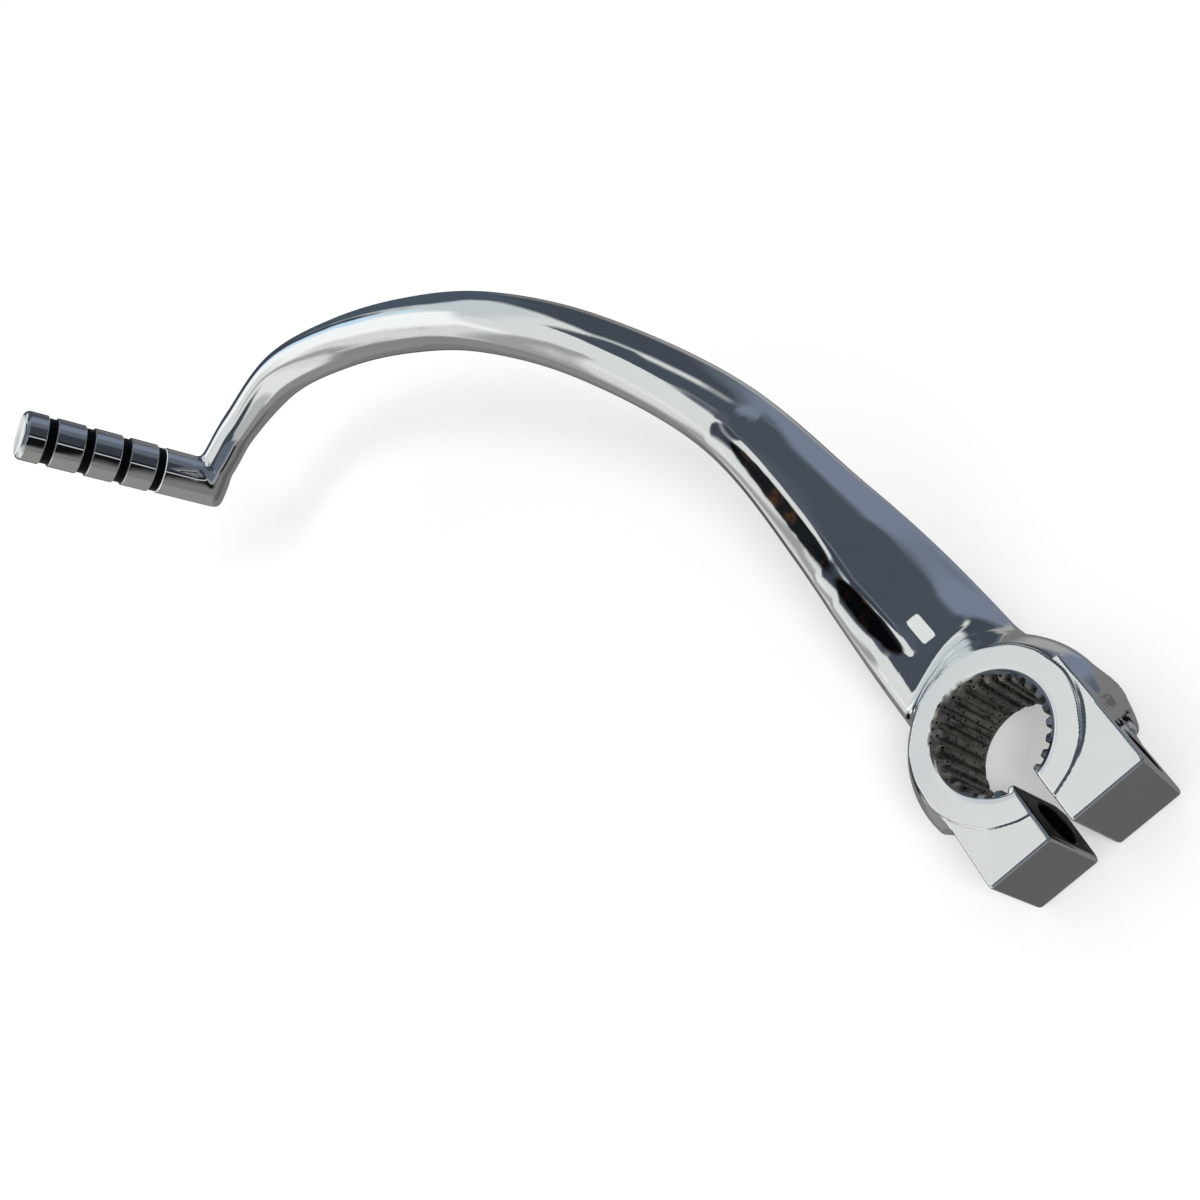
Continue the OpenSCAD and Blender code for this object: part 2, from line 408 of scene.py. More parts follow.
def add_shares(piece, name, shares):
    """Keeps a share of 0 to 1 at each point, for a material to read; points past the list get 0."""
    values = np.zeros(len(piece.data.vertices))
    values[:shares.size] = shares.ravel()
    piece.data.attributes.new(name, "FLOAT", "POINT").data.foreach_set("value", values)


def build_arm():
    """The bar, elbow and stub in one, with shares for the hollows' painted dark reflection and the
    painted highlight patch.
    """
    rings = np.vstack([arm_rings(), elbow_rings(), stub_rings()])
    _, ahead, _, _ = arm_frame(np.array([SEAM_RUN]))
    points, faces, loops = tube(rings, -ahead[0], PEG_AXIS)
    piece = mesh_piece("arm_bar", points, faces, loops)
    runs = arm_runs()[:, None]
    painted_dark_shares = hollow_shares(np.cos(TURNS)[None], np.sin(TURNS)[None], runs, DARK_REFLECTION_RUN_OUT)
    add_shares(piece, "hollow", np.max(painted_dark_shares, axis=0))
    along = plateau(runs, *PATCH_RUN, PATCH_RUN_EDGE)
    across = plateau(np.degrees(TURNS)[None], *PATCH_ANGLE, PATCH_ANGLE_EDGE)
    add_shares(piece, "painted_highlight", along * across)
    return piece


def rounded_profile(points, radius, steps=5):
    """Rounds every inner corner of a polyline of (radius, height) points."""
    out = [np.array(points[0], float)]
    for before, corner, after in zip(points, points[1:], points[2:]):
        corner = np.array(corner, float)
        r = min(radius, 0.45 * np.linalg.norm(corner - before), 0.45 * np.linalg.norm(after - corner))
        a = corner + unit(np.array(before) - corner) * r
        b = corner + unit(np.array(after) - corner) * r
        for t in np.linspace(0, 1, steps + 1):
            out.append((1 - t) ** 2 * a + 2 * t * (1 - t) * corner + t * t * b)
    out.append(np.array(points[-1], float))
    return np.array(out)


def peg_outline():
    """Half section of the peg from the middle of its foot to the middle of its tip."""
    groove_r = PEG_R - GRIP_DEPTH
    line = [(ON_AXIS, PEG_FOOT), (groove_r, PEG_FOOT)]
    line += [(groove_r, PEG_FOOT + GRIP_W), (PEG_R, PEG_FOOT + GRIP_W)]
    for i in range(1, GRIP_COUNT):
        low = PEG_FOOT + i * GRIP_PITCH
        high = low + GRIP_W
        line += [(PEG_R, low), (groove_r, low), (groove_r, high), (PEG_R, high)]
    body = rounded_profile([*line, (PEG_R, PEG_LEN - TIP_ROUND)], LAND_ROUND)
    tip = [(PEG_R - TIP_ROUND * (1 - math.cos(a)), PEG_LEN - TIP_ROUND * (1 - math.sin(a)))
           for a in np.linspace(0, math.pi / 2, 10)]
    face = [(PEG_R - TIP_ROUND - TIP_RIM, PEG_LEN), (ON_AXIS, PEG_LEN)]
    return np.vstack([body, tip[1:], face])


def refine(profile, gap=0.5):
    """Adds points so that no step along a profile is longer than gap."""
    out = [profile[0]]
    for a, b in zip(profile, profile[1:]):
        n = max(1, math.ceil(np.linalg.norm(b - a) / gap))
        out += [a + (b - a) * k / n for k in range(1, n + 1)]
    return np.array(out)


def build_peg():
    """The turned peg, its outline swept round its axis."""
    profile = refine(peg_outline())
    x_dir = unit(np.cross([0, 0, 1], PEG_AXIS))
    y_dir = np.cross(PEG_AXIS, x_dir)
    around = np.cos(TURNS)[:, None] * x_dir + np.sin(TURNS)[:, None] * y_dir
    rings = np.array([TOE + PEG_AXIS * h + around * r for r, h in profile])
    points, faces, loops = tube(rings, -PEG_AXIS, PEG_AXIS)
    return mesh_piece("toe_peg_turned", points, faces, loops)


# ---------------------------------------------------------------- the hub as a distance field
def soft_max(a, b, k):
    """The larger of two fields, blended over a width k: what two solids share, its edge rounded."""
    h = np.maximum(k - np.abs(a - b), 0) / k
    return np.maximum(a, b) + h * h * k / 4


def soft_min(a, b, k):
    """The smaller of two fields, blended over a width k: two solids joined with a fillet."""
    return -soft_max(-a, -b, k)


ROOT_DIR = unit([ROUTE[1][0], ROUTE[1][1], 0])
ROOT_SIDE = np.array([-ROOT_DIR[1], ROOT_DIR[0], 0])
# The arm's root starts this far from the bore's axis, and is followed over these runs only.
ROOT_START, ROOT_RUNS = 2, (0.5, 34)
OUT_OF_THE_WAY = 9


def arm_root_field(p):
    """Signed distance, about, to the arm near the hub."""
    run = np.clip(p @ ROOT_DIR, *ROOT_RUNS)
    for _ in range(3):
        centre, ahead, side, up = arm_frame(run)
        run = np.clip(run + ((p - centre) * ahead).sum(-1), *ROOT_RUNS)
    centre, ahead, side, up = arm_frame(run)
    off = p - centre
    u, w = (off * side).sum(-1), (off * up).sum(-1)
    step = 0.01
    g = gauge(u, w, run)
    slope = np.hypot(gauge(u + step, w, run) - g, gauge(u, w + step, run) - g) / step
    field = (g - 1) / np.maximum(slope, 0.05)
    return np.maximum(field, ROOT_START - p @ ROOT_DIR)


def only_where(wanted, field):
    """A field that cuts only where wanted."""
    return np.where(wanted, field, OUT_OF_THE_WAY)


def body_field(r, z, lower):
    """The round body with its belly and the shoulder below the ring."""
    wall = r - (HUB_R - WALL_INSET + BELLY * np.exp(-((z - BELLY_Z) / BELLY_SPREAD) ** 2))
    shoulder = SHOULDER_OUT * (r - RING_R - SHOULDER_GAP) + SHOULDER_UP * (z - lower)
    body = soft_max(soft_max(z - lower, shoulder, TOP_EDGE), wall, BODY_EDGE)
    return soft_max(body, BOTTOM - z, BACK_EDGE)


def ring_field(r, angle, z):
    """The raised ring, its edge slightly uneven as after hand polishing."""
    ring_r = RING_R + 0.05 * np.sin(9 * angle + 1) + 0.03 * np.sin(17 * angle)
    ring = soft_max(z - TOP, 0.98 * (r - ring_r) + RING_TAPER * (z - TOP), RING_EDGE)
    return soft_max(ring, BOTTOM + RING_FOOT - z, CRISP)


def ears_field(x, leaning, z, lower):
    """Both ears as one block; the slit parts them later."""
    ears = soft_max(x - EAR_REACH, np.abs(leaning) - EAR_HALF, EAR_EDGE)
    ears = soft_max(ears, z - lower, EAR_TOP_EDGE)
    ears = soft_max(ears, BOTTOM - z, EAR_BACK_EDGE)
    return soft_max(ears, EAR_START - x, CRISP)


def bore_field(r, angle, z):
    """The hole for the shaft: tips, grooves between the teeth, lead-in and the relief at the back."""
    pitch = 2 * np.pi / TEETH
    fold = angle % pitch - pitch / 2
    gx, gy = r * np.cos(fold), np.abs(r * np.sin(fold))
    mouth_half = (np.pi * 2 * TIP_R / TEETH - TOOTH_LAND) / 2
    share = np.clip((gx - TIP_R) / (ROOT_R - TIP_R), -1, 2)
    flank = (gy - (mouth_half + (GROOVE_ROOT / 2 - mouth_half) * share)) * 0.98
    void = soft_min(r - TIP_R, soft_max(flank, gx - ROOT_R, TOOTH_EDGE), LEAD_IN_EDGE)
    slope = (MOUTH_R - TIP_R) / MOUTH_DEPTH
    mouth = (r - TIP_R - slope * (z - TOP + MOUTH_DEPTH)) / math.hypot(1, slope)
    back = (r - TIP_R - BACK_FLARE * (BOTTOM + BACK_DEPTH - z)) * 0.85
    return soft_min(soft_min(void, mouth, LEAD_IN_EDGE), back, RELIEF_EDGE)


def hub_field(p):
    """Signed distance, about, to the finished hub and the root of the arm, in mm."""
    x, y, z = p @ SLIT_DIR, p @ EAR_DIR, p[..., 2]
    r = np.hypot(x, y)
    angle = np.arctan2(y, x)
    lower = TOP - RING_STEP
    rise = np.clip((z - BOTTOM) / (lower - BOTTOM), 0, 1.1)
    leaning = y - np.where(y > 0, EAR_DRAFT * rise, 0)
    solid = soft_min(body_field(r, z, lower), ears_field(x, leaning, z, lower), EAR_FILLET)
    solid = soft_min(solid, ring_field(r, angle, z), RING_FILLET)

    from_bolt = np.hypot(x - BOLT_REACH, z - BOLT_AT[2])
    seat = np.maximum(from_bolt - SEAT_R, EAR_HALF - np.abs(leaning))
    solid = soft_max(solid, -only_where(x > 0, seat), SEAT_EDGE)

    fillet = FILLET_MEAN - FILLET_SWING * np.tanh((p @ ROOT_SIDE) / FILLET_SPREAD)
    solid = soft_min(solid, arm_root_field(p), fillet)
    solid = soft_max(solid, BOTTOM - z, UNDER_EDGE)

    slit = np.maximum(np.abs(y) - SLIT_HALF, -x)
    solid = soft_max(solid, -slit, SLIT_EDGE)
    solid = soft_max(solid, -only_where(x > 0, from_bolt - BOLT_R), HOLE_EDGE)
    return soft_max(solid, -bore_field(r, angle, z), BORE_EDGE)


def field_normal(field, p, step=0.02):
    """Unit normals of a field at points, and how steep the field is there."""
    g = np.stack([field(p + step * e) - field(p - step * e) for e in np.eye(3)], -1) / (2 * step)
    size = np.linalg.norm(g, axis=-1, keepdims=True)
    return g / np.maximum(size, 1e-9), np.maximum(size[..., 0], 0.2)


def grid_values(field, axes):
    """The field at every point of a grid, worked out a slice at a time."""
    values = np.empty([len(a) for a in axes], np.float32)
    gy, gz = np.meshgrid(axes[1], axes[2], indexing="ij")
    for i, x in enumerate(axes[0]):
        values[i] = field(np.stack([np.full_like(gy, x), gy, gz], -1))
    return values


def crossed_edges(values, axis):
    """Grid edges that the surface crosses: first ends, crossings, and which first ends are inside."""
    head, tail = [slice(None)] * 3, [slice(None)] * 3
    head[axis], tail[axis] = slice(None, -1), slice(1, None)
    first, second = values[tuple(head)], values[tuple(tail)]
    ends = np.argwhere((first < 0) != (second < 0))
    key = tuple(ends.T)
    at = ends.astype(float)
    at[:, axis] += first[key] / (first[key] - second[key])
    return ends, at, first[key] < 0


def cells_round(ends, axis):
    """The four cells round each grid edge, in order round it."""
    one, two = (axis + 1) % 3, (axis + 2) % 3
    rounds = []
    for step_one, step_two in ((0, 0), (-1, 0), (-1, -1), (0, -1)):
        cells = ends.copy()
        cells[:, one] += step_one
        cells[:, two] += step_two
        rounds.append(cells)
    return rounds


def in_grid(cells, shape):
    return ((cells >= 0) & (cells < np.array(shape))).all(1)


def surface_net(field, low, high, cell):
    """Points and quads of the field's zero surface: one point in each cell that it crosses."""
    axes = [np.arange(a, b + cell, cell) for a, b in zip(low, high)]
    values = grid_values(field, axes)
    shape = [n - 1 for n in values.shape]
    total, count = np.zeros([*shape, 3]), np.zeros(shape)
    crossings = [crossed_edges(values, axis) for axis in range(3)]
    for axis, (ends, at, _) in enumerate(crossings):
        for cells in cells_round(ends, axis):
            ok = in_grid(cells, shape)
            key = tuple(cells[ok].T)
            np.add.at(total, key, at[ok])
            np.add.at(count, key, 1)
    used = tuple(np.argwhere(count > 0).T)
    index = -np.ones(shape, int)
    index[used] = np.arange(len(used[0]))
    points = total[used] / count[used][:, None] * cell + np.array([a[0] for a in axes])
    quads = []
    for axis, (ends, _, starts_inside) in enumerate(crossings):
        corners = cells_round(ends, axis)
        ok = np.all([in_grid(c, shape) for c in corners], axis=0)
        quad = np.stack([index[tuple(c[ok].T)] for c in corners], 1)
        flip = ~starts_inside[ok]
        quad[flip] = quad[flip][:, ::-1]
        quads.append(quad)
    return points, np.vstack(quads)


HUB_CELL = 0.18
# The grid takes in the hub and the arm's root, to a little past the seam.
GRID_LOW = np.array([hub_low[0] - 1, -19.5, BOTTOM - 0.8])
GRID_HIGH = np.array([21.5, hub_high[1] + 1, TOP + 3.5])
SETTLE_ROUNDS, SETTLE_STEP = 4, 0.1


def build_hub():
    """The hub and the arm's root up to the seam, from the field, with the seam's cut closed."""
    points, quads = surface_net(hub_field, GRID_LOW, GRID_HIGH, HUB_CELL)
    for _ in range(SETTLE_ROUNDS):
        normal, size = field_normal(hub_field, points)
        move = np.clip(hub_field(points) / size, -SETTLE_STEP, SETTLE_STEP)
        points = points - normal * move[:, None]
    centre, ahead, _, _ = arm_frame(np.array([SEAM_RUN]))
    centre, ahead = centre[0], ahead[0]

    mesh = bpy.data.meshes.new("hub_raw")
    mesh.from_pydata(points.tolist(), [], quads.tolist())
    bm = bmesh.new()
    bm.from_mesh(mesh)
    cut = bmesh.ops.bisect_plane(bm, geom=bm.verts[:] + bm.edges[:] + bm.faces[:], dist=1e-5,
                                 plane_co=Vector(centre), plane_no=Vector(ahead), clear_outer=True)
    rim = [e for e in cut["geom_cut"] if isinstance(e, bmesh.types.BMEdge)]
    cap = bmesh.ops.edgeloop_fill(bm, edges=rim)["faces"]
    bm.normal_update()
    bm.verts.index_update()
    points = np.array([v.co for v in bm.verts])
    normal, _ = field_normal(hub_field, points)
    faces, loops = [], []
    for f in bm.faces:
        ids = [v.index for v in f.verts]
        faces.append(ids)
        loops.extend([ahead] * len(ids) if f in cap else normal[ids])
    bm.free()
    bpy.data.meshes.remove(mesh)
    return mesh_piece("hub_forged", points, faces, loops)


# ---------------------------------------------------------------- materials
def srgb(r, g, b):
    """Linear colour from 0-255 screen values."""
    return [((c / 255 + 0.055) / 1.055) ** 2.4 if c > 10 else c / 255 / 12.92 for c in (r, g, b)] + [1.0]


class Nodes:
    """Short calls for building a node tree."""

    def __init__(self, tree):
        self.tree = tree
        tree.nodes.clear()

    def add(self, kind, inputs=(), **settings):
        """A node with its inputs set or linked."""
        node = self.tree.nodes.new(kind)
        for key, value in settings.items():
            setattr(node, key, value)
        for key, value in dict(inputs).items():
            self.put(node.inputs[key], value)
        return node

    def put(self, socket, value):
        """Links a socket or node, or sets a plain value."""
        if isinstance(value, bpy.types.NodeSocket):
            self.tree.links.new(value, socket)
        elif isinstance(value, bpy.types.Node):
            self.tree.links.new(value.outputs[0], socket)
        else:
            socket.default_value = value

    def math(self, operation, a, b=0.0, c=0.0):
        node = self.add("ShaderNodeMath", operation=operation)
        for socket, value in zip(node.inputs, (a, b, c)):
            self.put(socket, value)
        return node.outputs[0]

    def length(self, a, b):
        """Root of the sum of two squares."""
        squares = self.math("ADD", self.math("MULTIPLY", a, a), self.math("MULTIPLY", b, b))
        return self.math("SQRT", squares)

    def along(self, where, axis):
        """How far a place is along a direction."""
        node = self.add("ShaderNodeVectorMath", {0: where, 1: tuple(axis)}, operation="DOT_PRODUCT")
        return node.outputs["Value"]

    def ramp(self, value, low, high, to_low=0.0, to_high=1.0):
        """From to_low at low to to_high at high, smoothly; low may be the larger one."""
        node = self.add("ShaderNodeMapRange", interpolation_type="SMOOTHSTEP")
        for key, v in zip((0, 1, 2, 3, 4), (value, low, high, to_low, to_high)):
            self.put(node.inputs[key], v)
        return node.outputs[0]

    def mix(self, share, a, b):
        """Colour a, or b where share is 1."""
        node = self.add("ShaderNodeMix", data_type="RGBA")
        self.put(node.inputs[0], share)
        self.put(node.inputs[6], a)
        self.put(node.inputs[7], b)
        return node.outputs[2]

    def noise(self, where, scale, detail=2.0, roughness=0.5):
        node = self.add("ShaderNodeTexNoise", {"Vector": where, "Scale": scale, "Detail": detail,
                                               "Roughness": roughness})
        return node.outputs[0]

    def bump(self, height, strength, distance, normal=None):
        node = self.add("ShaderNodeBump", {"Strength": strength, "Distance": distance, "Height": height})
        if normal is not None:
            self.put(node.inputs["Normal"], normal)
        return node.outputs[0]


def new_material(name):
    """An empty material and its nodes."""
    material = bpy.data.materials.new(name)
    material.use_nodes = True
    return material, Nodes(material.node_tree)


def object_place(n):
    return n.add("ShaderNodeTexCoord").outputs["Object"]


def chrome_skin(n, where):
    """Mirror chrome over hand-polished steel: base colour, roughness and a faintly wavy normal."""
    wave = n.noise(where, 90, 1.0)
    grain = n.noise(where, 2600, 3.0, 0.6)
    cloud = n.noise(where, 160, 3.0)
    base = n.mix(cloud, (0.93, 0.935, 0.94, 1), (0.975, 0.975, 0.975, 1))
    rough = n.math("MULTIPLY_ADD", grain, 0.05, 0.015)
    normal = n.bump(wave, 0.2, 0.0006)
    normal = n.bump(grain, 0.04, 0.00004, normal)
    return base, rough, normal


def metal(n, base, rough, normal, metallic=1.0):
    """The shader of a metal surface."""
    return n.add("ShaderNodeBsdfPrincipled", {"Base Color": base, "Roughness": rough, "Normal": normal,
                                              "Metallic": metallic})


def finish_material(n, shader):
    n.add("ShaderNodeOutputMaterial", {"Surface": shader})


def arm_material():
    """Chrome; the hollows get a painted dark reflection in slate and brown, rougher there, and one pale,
    dull patch is a painted highlight.
    """
    material, n = new_material("chrome_with_painted_dark_hollows")
    where = object_place(n)
    base, rough, normal = chrome_skin(n, where)
    # Painted dark reflection: the hollows turn dark slate and brown, and a little rougher.
    hollow = n.add("ShaderNodeAttribute", attribute_name="hollow").outputs["Fac"]
    ragged = n.math("MULTIPLY", n.math("SUBTRACT", n.noise(where, 500, 3.0), 0.5), 0.25)
    painted_dark_and_rough = n.ramp(n.math("ADD", hollow, ragged), 0.3, 0.5)
    painted_dark_colour = n.mix(n.ramp(n.noise(where, 260, 3.0, 0.6), 0.5, 0.66), srgb(34, 37, 41), srgb(88, 62, 44))
    base = n.mix(painted_dark_and_rough, base, painted_dark_colour)
    rough = n.math("MULTIPLY_ADD", painted_dark_and_rough, 0.12, rough)
    # Painted highlight: a pale, less metallic patch on the flat.
    painted_highlight = n.add("ShaderNodeAttribute", attribute_name="painted_highlight").outputs["Fac"]
    painted_highlight = n.ramp(n.math("ADD", painted_highlight, ragged), 0.4, 0.6)
    base = n.mix(painted_highlight, base, srgb(214, 219, 216))
    rough = n.math("MULTIPLY_ADD", painted_highlight, 0.4, rough)
    metallic = n.math("MULTIPLY_ADD", painted_highlight, -0.85, 1.0)
    finish_material(n, metal(n, base, rough, normal, metallic))
    return material


def bare_steel(n, where, in_slit, in_hole):
    """Dark, pitted steel, with painted shade: darker in the slit and darkest in the bolt's hole."""
    stretched = n.add("ShaderNodeMapping", {"Vector": where, "Scale": (1, 1, 0.12)})
    streak = n.noise(stretched, 1500, 4.0, 0.65)
    blotch = n.noise(where, 420, 4.0, 0.7)
    steel = n.mix(n.ramp(blotch, 0.3, 0.75), srgb(64, 63, 60), srgb(146, 142, 132))
    steel = n.mix(n.ramp(streak, 0.45, 0.8), steel, srgb(150, 148, 142))
    # Painted shade: the slit dark brown and the bolt's hole nearly black.
    steel = n.mix(in_slit, steel, srgb(40, 35, 30))
    steel = n.mix(in_hole, steel, srgb(16, 15, 14))
    pits = n.add("ShaderNodeTexVoronoi", {"Vector": where, "Scale": 1300.0, "Randomness": 1.0})
    pit = n.ramp(pits.outputs["Distance"], 0.16, 0.3)
    steel = n.mix(pit, srgb(12, 13, 15), steel)
    normal = n.bump(blotch, 0.5, 0.00012)
    normal = n.bump(pit, 0.9, 0.00015, normal)
    normal = n.bump(streak, 0.5, 0.00008, normal)
    return metal(n, steel, n.ramp(blotch, 0.3, 0.8, 0.34, 0.6), normal, 0.75)


def hub_material():
    """Chrome outside, with a painted slate reflection on part of the bore's lead-in; bare steel inside
    the bore, the slit and the bolt's hole.
    """
    material, n = new_material("chrome_and_bare_bore")
    where = object_place(n)
    base, rough, normal = chrome_skin(n, where)
    x, y, z = n.add("ShaderNodeSeparateXYZ", {"Vector": where}).outputs
    across, out = n.along(where, EAR_DIR), n.along(where, SLIT_DIR)
    radius = n.length(x, y)
    ragged = n.math("MULTIPLY", n.math("SUBTRACT", n.noise(where, 900, 3.0), 0.5), 0.0006)
    a_little = n.math("MULTIPLY", ragged, 0.4)

    edge = n.math("ADD", radius, ragged)
    in_bore = n.ramp(edge, (MOUTH_R + 0.4) * MM, (MOUTH_R + 0.3) * MM)
    height = n.math("ADD", n.math("MULTIPLY_ADD", x, -0.045, z), a_little)
    below_mouth = n.ramp(height, (TOP - 0.26) * MM, (TOP - 0.4) * MM)
    in_bore = n.math("MULTIPLY", in_bore, below_mouth)

    gap = n.math("ADD", n.math("ABSOLUTE", across), a_little)
    in_slit = n.ramp(gap, (SLIT_HALF + 0.12) * MM, (SLIT_HALF + 0.04) * MM)
    in_slit = n.math("MULTIPLY", in_slit, n.ramp(out, 0.002, 0.003))
    before_end = n.ramp(out, (EAR_REACH - 0.2) * MM, (EAR_REACH - 0.9) * MM)
    in_slit = n.math("MULTIPLY", in_slit, before_end)

    above_bolt = n.math("SUBTRACT", z, BOLT_AT[2] * MM)
    past_bolt = n.math("SUBTRACT", out, BOLT_REACH * MM)
    from_bolt = n.length(above_bolt, past_bolt)
    in_hole = n.ramp(from_bolt, (BOLT_R + 0.25) * MM, (BOLT_R + 0.1) * MM)
    in_hole = n.math("MULTIPLY", in_hole, n.ramp(out, 0.003, 0.004))
    bare = n.math("MAXIMUM", n.math("MAXIMUM", in_bore, in_slit), in_hole)

    # Painted reflection: part of the lead-in at the bore's mouth is tinted slate.
    mouth_painted_reflection = n.ramp(radius, (MOUTH_R + 0.05) * MM, (MOUTH_R - 0.1) * MM)
    mouth_painted_reflection = n.math("MULTIPLY", mouth_painted_reflection, n.ramp(across, 0.001, 0.003))
    base = n.mix(mouth_painted_reflection, base, srgb(92, 99, 110))
    both = n.add("ShaderNodeMixShader", {0: bare, 1: metal(n, base, rough, normal),
                                         2: bare_steel(n, where, in_slit, in_hole)})
    finish_material(n, both)
    return material


def peg_material():
    """Chrome lands; the turned grooves are painted dark as shade."""
    material, n = new_material("chrome_and_dark_grooves")
    where = object_place(n)
    base, rough, normal = chrome_skin(n, where)
    from_toe = n.add("ShaderNodeVectorMath", {0: where, 1: tuple(TOE * MM)}, operation="SUBTRACT")
    height = n.along(from_toe, PEG_AXIS)
    size = n.add("ShaderNodeVectorMath", {0: from_toe}, operation="LENGTH").outputs["Value"]
    square = n.math("SUBTRACT", n.math("MULTIPLY", size, size), n.math("MULTIPLY", height, height))
    radius = n.math("SQRT", square)
    # Painted shade: the grooves' floors nearly black, with a faint turned grain.
    deep = n.ramp(radius, (PEG_R - 0.03) * MM, (PEG_R - 0.14) * MM)
    below_tip = n.ramp(height, (PEG_LEN - 2.5) * MM, (PEG_LEN - 3) * MM)
    dark = n.math("MULTIPLY", deep, below_tip)
    stretched = n.add("ShaderNodeMapping", {"Vector": where, "Scale": (0.2, 0.2, 3)})
    turned = n.noise(stretched, 2400, 3.0)
    base = n.mix(dark, base, n.mix(turned, srgb(12, 13, 15), srgb(46, 47, 50)))
    rough = n.math("ADD", rough, n.math("MULTIPLY", dark, 0.3))
    normal = n.bump(n.math("MULTIPLY", turned, dark), 0.4, 0.00006, normal)
    finish_material(n, metal(n, base, rough, normal))
    return material


def floor_material():
    """A pale table that also glows a little, so that it stays as pale as the picture's background."""
    material, n = new_material("pale_table")
    where = object_place(n)
    tone = n.noise(where, 3, 2.0)
    base = n.mix(tone, (0.595, 0.595, 0.595, 1), (0.605, 0.605, 0.605, 1))
    fine = n.bump(n.noise(where, 400, 2.0), 0.02, 0.0002)
    shader = n.add("ShaderNodeBsdfPrincipled", {"Base Color": base, "Roughness": 0.7, "Normal": fine,
                                                "Emission Color": base, "Emission Strength": FLOOR_GLOW})
    finish_material(n, shader)
    return material


# ---------------------------------------------------------------- stage, light and camera
# What the chrome mirrors, painted over each other in order: name, azimuth from and to,
# elevation from and to in degrees, edge softness, colour, and how far the card leans, in
# degrees of azimuth per degree of elevation.
SURROUNDINGS = [
    ("room", -180, 180, 1, 100, 8, (148, 151, 154), 0),
    ("behind", 104, 262, 18, 84, 10, (94, 102, 115), 0),
    ("far_wall", 66, 118, 46, 84, 6, (62, 69, 79), 0),
    ("window", -90, 62, 20, 84, 4, (216, 220, 218), 0),
    ("pane", -45, 2, 4, 52, 10, (196, 203, 207), 0),
    ("overhead", -72, -26, 61, 84, 5, (70, 77, 87), 0),
    ("curtain", -118, -42, -6, 58, 9, (66, 73, 83), -0.4),
    ("left_wall", -190, -88, -20, 84, 8, (92, 100, 112), -0.5),
    ("slate_top", 150, 300, 66, 88, 8, (70, 78, 88), 0),
    ("streak", -113, -86, -46, 72, 10, (118, 127, 145), -0.5),
    ("ceiling", -180, 180, 84, 104, 4, (80, 87, 98), 0),
    ("door", -40, -9, -32, 24, 6, (72, 84, 95), -0.5),
    ("low_glow", -74, -48, -34, -14, 10, (160, 162, 162), 0),
    ("lamp", -9, 34, 22, 40, 9, (246, 249, 249), 0),
    ("far_light", 46, 102, -12, 44, 10, (226, 229, 227), 0),
    ("far_fade", 88, 124, -6, 40, 14, (178, 181, 180), 0),
    ("low_light", 24, 52, 2, 34, 8, (214, 216, 214), 0),
    ("post", 36, 44, -20, 56, 6, (158, 159, 157), 0),
    ("post_foot", 24, 42, -20, 2, 6, (134, 135, 133), 0),
    ("near_table", 24, 116, -34, -13, 8, (138, 138, 136), 0),
    ("left_low", -178, -130, -10, 9, 12, (54, 58, 66), 0),
    ("viewer", 138, 192, -12, 5, 8, (14, 16, 18), 0),
    ("glint", 180, 184, -12, 4, 3, (205, 210, 214), 0),
    ("lens", 8, 24, -19, 8, 5, (17, 16, 16), 0),
    ("door_edge", -18, -2, -14, 22, 3, (62, 68, 80), 0),
    ("tip_card", -1, 9, 2, 17, 2, (250, 252, 252), 0),
    ("corner_lamp", -14, -4, 21, 27, 3, (196, 226, 246), 0),
    ("own_shade", 90, 150, -86, -40, 12, (94, 95, 94), 0),
]
TABLE_COLOUR = (120, 120, 119)
AMBIENT = 0.8
FLOOR_GLOW = 0.6
FLOOR_HALF, FLOOR_GAP = 5.0, 0.0001
KEY_AZIMUTH, KEY_ELEVATION = 178, 43
KEY_SOFTNESS = 18
KEY_STRENGTH = 1.6


def band(n, off_middle, half, soft):
    """1 within half of the middle, 0 beyond, with a soft edge."""
    return n.ramp(n.math("ABSOLUTE", off_middle), half + soft / 2, half - soft / 2)


def card_mask(n, azimuth, elevation, card):
    """Where one of the surroundings is seen; a card right round has no side edges."""
    _, left, right, low, high, soft, _, lean = card
    off_level = n.math("SUBTRACT", elevation, (low + high) / 2)
    mask = band(n, off_level, (high - low) / 2, soft)
    if right - left < 360:
        middle = n.math("MULTIPLY_ADD", off_level, lean, (left + right) / 2)
        off = n.math("WRAP", n.math("SUBTRACT", azimuth, middle), 180, -180)
        mask = n.math("MULTIPLY", band(n, off, (right - left) / 2, soft), mask)
    return mask


def build_world():
    """Pale to the camera, even light for the table, and a studio painted for the chrome to mirror."""
    world = bpy.data.worlds.new("studio")
    bpy.context.scene.world = world
    world.use_nodes = True
    n = Nodes(world.node_tree)
    way = n.add("ShaderNodeSeparateXYZ", {"Vector": n.add("ShaderNodeTexCoord").outputs["Generated"]})
    to_degrees = 180 / math.pi
    azimuth = n.math("MULTIPLY", n.math("ARCTAN2", way.outputs[1], way.outputs[0]), to_degrees)
    elevation = n.math("MULTIPLY", n.math("ARCSINE", way.outputs[2]), to_degrees)
    colour = srgb(*TABLE_COLOUR)
    for card in SURROUNDINGS:
        *_, card_colour, _ = card
        colour = n.mix(card_mask(n, azimuth, elevation, card), colour, srgb(*card_colour))
    path = n.add("ShaderNodeLightPath")
    pale = n.mix(path.outputs["Is Camera Ray"], (AMBIENT, AMBIENT, AMBIENT, 1), (1, 1, 1, 1))
    seen = n.mix(path.outputs["Is Glossy Ray"], pale, colour)
    n.add("ShaderNodeOutputWorld", {"Surface": n.add("ShaderNodeBackground", {"Color": seen})})


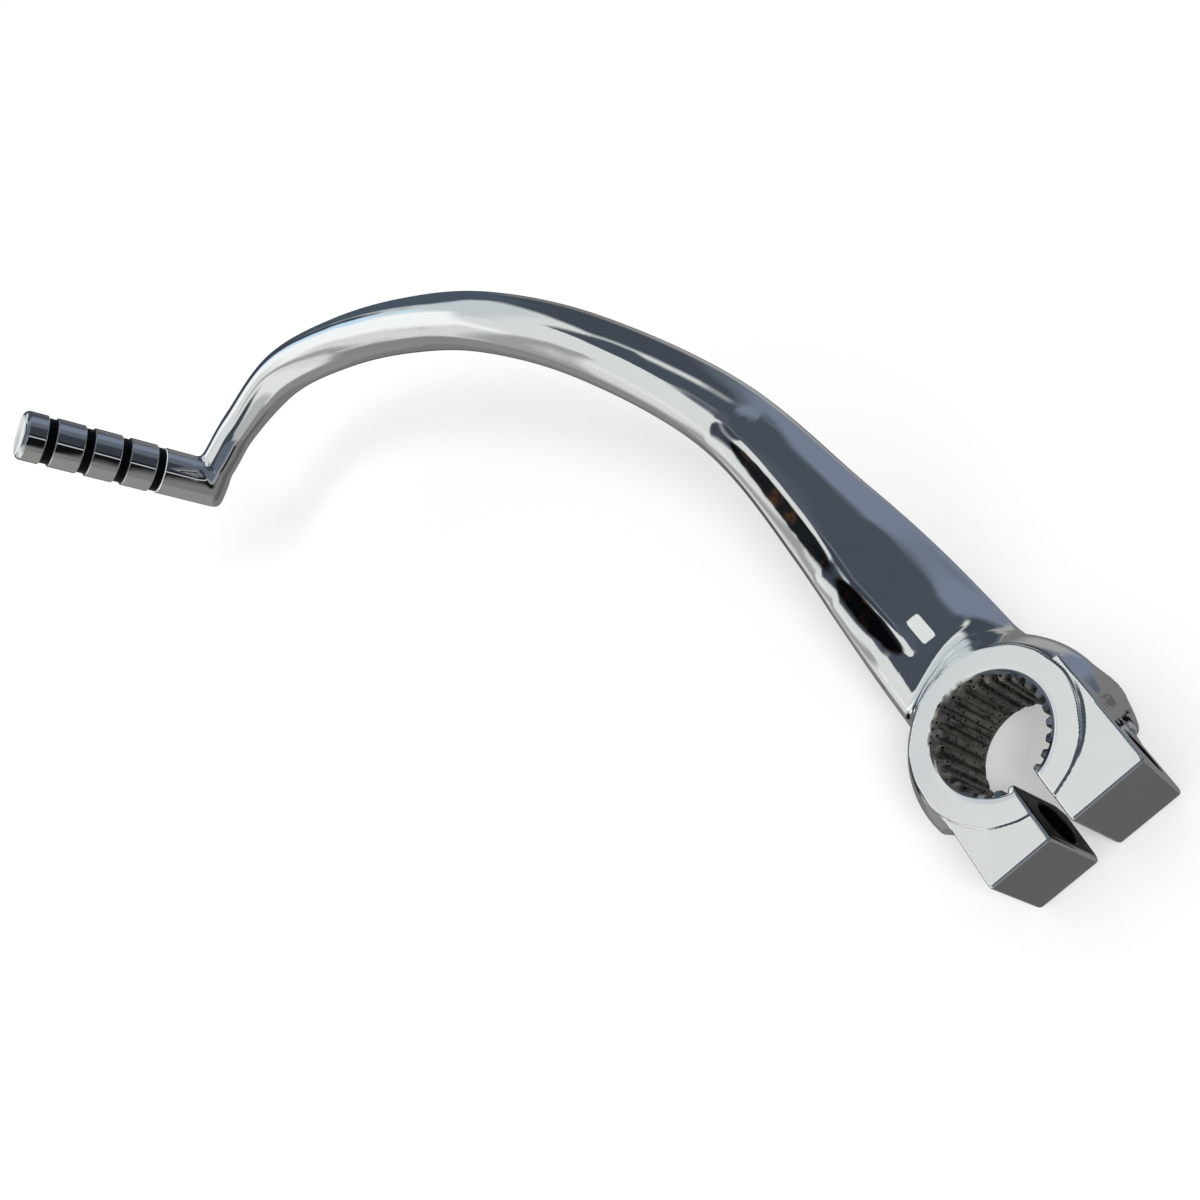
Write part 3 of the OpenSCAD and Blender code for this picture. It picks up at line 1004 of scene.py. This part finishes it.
def build_floor():
    """A wide table just below the hub's inboard face; the chrome doesn't mirror it."""
    centre = (cad_low + cad_high) / 2
    mesh = bpy.data.meshes.new("floor")
    corners = [(centre.x + i * FLOOR_HALF, centre.y + j * FLOOR_HALF, cad_low.z - FLOOR_GAP)
               for i, j in ((-1, -1), (1, -1), (1, 1), (-1, 1))]
    mesh.from_pydata(corners, [], [(0, 1, 2, 3)])
    floor = bpy.data.objects.new("floor", mesh)
    bpy.context.scene.collection.objects.link(floor)
    floor.data.materials.append(floor_material())
    floor.visible_glossy = False


def direction(azimuth, elevation):
    """Unit vector from angles in degrees."""
    a, e = math.radians(azimuth), math.radians(elevation)
    return Vector((math.cos(a) * math.cos(e), math.sin(a) * math.cos(e), math.sin(e)))


def build_key():
    """The soft lamp that casts the shadow on the table."""
    lamp = bpy.data.lights.new("key", "SUN")
    lamp.energy = KEY_STRENGTH
    lamp.angle = math.radians(KEY_SOFTNESS)
    key = bpy.data.objects.new("key", lamp)
    bpy.context.scene.collection.objects.link(key)
    key.rotation_mode = "QUATERNION"
    key.rotation_quaternion = direction(KEY_AZIMUTH, KEY_ELEVATION).to_track_quat("Z", "Y")
    key.visible_glossy = False


# The photo's camera, solved from the picture: where it looks, its roll, place in metres and lens.
VIEW_AZIMUTH, VIEW_ELEVATION, VIEW_ROLL = -6.9, -37.4, 64.2
VIEW_FROM = Vector((-0.0865, 0.016, 0.1307))
VIEW_LENS = 39.0


def build_camera():
    data = bpy.data.cameras.new("camera")
    data.lens = VIEW_LENS
    data.sensor_width = 36
    data.clip_start, data.clip_end = 0.01, 50
    camera = bpy.data.objects.new("camera", data)
    bpy.context.scene.collection.objects.link(camera)
    ahead = direction(VIEW_AZIMUTH, VIEW_ELEVATION)
    level = ahead.cross(Vector((0, 0, 1))).normalized()
    down = ahead.cross(level)
    roll = math.radians(VIEW_ROLL)
    right = level * math.cos(roll) + down * math.sin(roll)
    up = right.cross(ahead)
    turn = Matrix((right, up, -ahead)).transposed().to_4x4()
    camera.matrix_world = Matrix.Translation(VIEW_FROM) @ turn
    bpy.context.scene.camera = camera


# ---------------------------------------------------------------- the lever
def place(piece, node, material):
    """Gives a piece its material and puts it in place of its CAD node, on the one rigid body."""
    piece.data.materials.append(material)
    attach(piece, "root")
    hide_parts(node)


def build_lever():
    """The three pieces; the peg isn't mirrored in the arch, as in the picture."""
    place(build_hub(), "splined_hub", hub_material())
    place(build_arm(), "arm", arm_material())
    peg = build_peg()
    peg.visible_glossy = False
    place(peg, "toe_peg", peg_material())


build_camera()
build_world()
build_floor()
build_key()
build_lever()
bpy.context.scene.view_settings.view_transform = "Standard"
